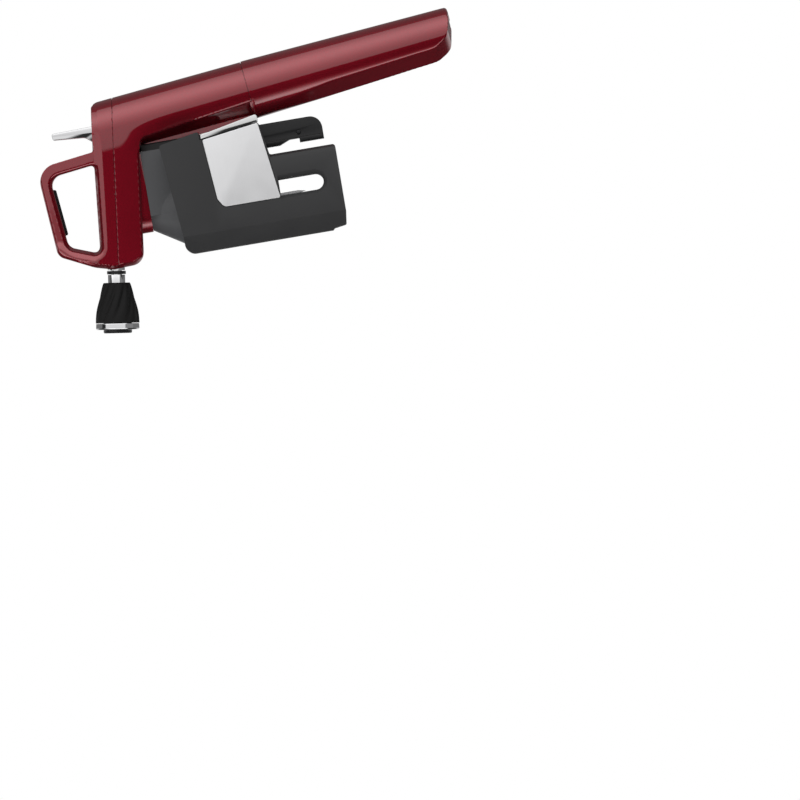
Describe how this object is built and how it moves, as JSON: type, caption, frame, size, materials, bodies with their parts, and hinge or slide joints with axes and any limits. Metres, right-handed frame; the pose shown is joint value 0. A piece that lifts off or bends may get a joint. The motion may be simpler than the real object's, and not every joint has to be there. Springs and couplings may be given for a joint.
{
  "type": "wine preservation dispenser",
  "caption": "Hand-held wine preservation dispenser: sprung bottle-neck clamp, sliding needle head with trigger, finger loop, spout with aerator, and a screw-off gas capsule cup.",
  "frame": {"origin": "centre of the bottle's lip, on the bottle's axis, where the lip meets the rubber seat", "axes": "+Z leads out of the bottle along its axis, +X from that axis towards the capsule tube, Y = 0 is the plane of symmetry and -Y is the side with the plate that the picture shows; the spout points to -X"},
  "size_m": [0.1321, 0.0548, 0.212],
  "materials": {
    "burgundy_paint": "deep burgundy lacquer with a fine metallic flake, glossy",
    "dark_grey_plastic": "satin dark grey moulded plastic",
    "mid_grey_plastic": "satin mid grey moulded plastic",
    "black_plastic": "black moulded plastic with a low sheen",
    "black_rubber": "soft black rubber",
    "satin_silver": "satin silver plating",
    "chrome": "polished",
    "steel": "bright steel",
    "brass": "machined",
    "white_plastic": "plain white bearing plastic"
  },
  "bodies": {
    "clamp": {"clamp_core": "mid_grey_plastic", "lip_seat": "black_rubber", "needle_guide": "white_plastic", "rail_collar": "satin_silver", "jaw_pin_near": "steel", "jaw_pin_far": "steel", "jaw_spring_near": "steel", "jaw_spring_far": "steel"},
    "jaw_near": {"jaw_near": "dark_grey_plastic", "jaw_plate_near": "satin_silver", "jaw_pad_near": "black_rubber"},
    "jaw_far": {"jaw_far": "dark_grey_plastic", "jaw_plate_far": "satin_silver", "jaw_pad_far": "black_rubber"},
    "head": {"main_housing": "burgundy_paint", "front_cover": "burgundy_paint", "loop_pad": "black_rubber", "guide_rail": "black_plastic", "rail_stop_pin": "steel", "needle_hub": "steel", "needle": "steel", "spout": "chrome", "spout_seal": "black_rubber", "trigger_pin": "steel", "regulator_body": "brass", "regulator_cap": "brass", "regulator_piston": "brass", "piston_seal": "black_rubber", "regulator_spring": "steel", "piercing_pin": "steel", "capsule_seal": "black_rubber", "valve_spring": "steel"},
    "trigger": {"trigger": "chrome"},
    "valve": {"valve_stem": "brass"},
    "capsule": {"gas_capsule": "steel"},
    "cup": {"capsule_cup": "burgundy_paint", "cup_cushion": "black_rubber"},
    "aerator": {"aerator_collar": "black_plastic", "aerator_tube": "chrome", "aerator_body": "black_rubber", "aerator_ring": "chrome", "aerator_screen": "black_plastic"}
  },
  "joints": [
    {"name": "jaw_near_swing", "type": "hinge", "parent": "clamp", "child": "jaw_near", "pos_m": [0, -0.0195, -0.025], "axis": [-1, 0, 0], "range_deg": [0, 7], "stiffness_Nm_per_rad": 0.6, "springref_deg": -5.73},
    {"name": "jaw_far_swing", "type": "hinge", "parent": "clamp", "child": "jaw_far", "pos_m": [0, 0.0195, -0.025], "axis": [1, 0, 0], "range_deg": [0, 7], "stiffness_Nm_per_rad": 0.6, "springref_deg": -5.73},
    {"name": "needle_stroke", "type": "slide", "parent": "clamp", "child": "head", "axis": [0, 0, 1], "range_m": [0, 0.06]},
    {"name": "trigger_swing", "type": "hinge", "parent": "head", "child": "trigger", "pos_m": [0.04892, 0, 0.03504], "axis": [0, -1, 0], "range_deg": [0, 14]},
    {"name": "valve_travel", "type": "slide", "parent": "head", "child": "valve", "axis": [0.1108, 0, -0.9938], "range_m": [0, 0.00088], "stiffness_N_per_m": 2500, "springref_m": -0.0008, "deforming": ["valve_spring"]},
    {"name": "cup_travel", "type": "slide", "parent": "head", "child": "capsule", "axis": [0.1108, 0, -0.9938], "range_m": [0, 0.009]},
    {"name": "cup_turn", "type": "hinge", "parent": "capsule", "child": "cup", "pos_m": [0.05338, 0, -0.03798], "axis": [0.1108, 0, -0.9938], "range_deg": [0, 1440]},
    {"name": "aerator_pull", "type": "slide", "parent": "head", "child": "aerator", "axis": [-0.9898, 0, 0.1426], "range_m": [0, 0.012]}
  ],
  "couplings": [
    {"joint": "trigger_swing", "follows": "valve_travel", "rad_per_m": 276.49},
    {"joint": "cup_turn", "follows": "cup_travel", "rad_per_m": 2792.5}
  ]
}
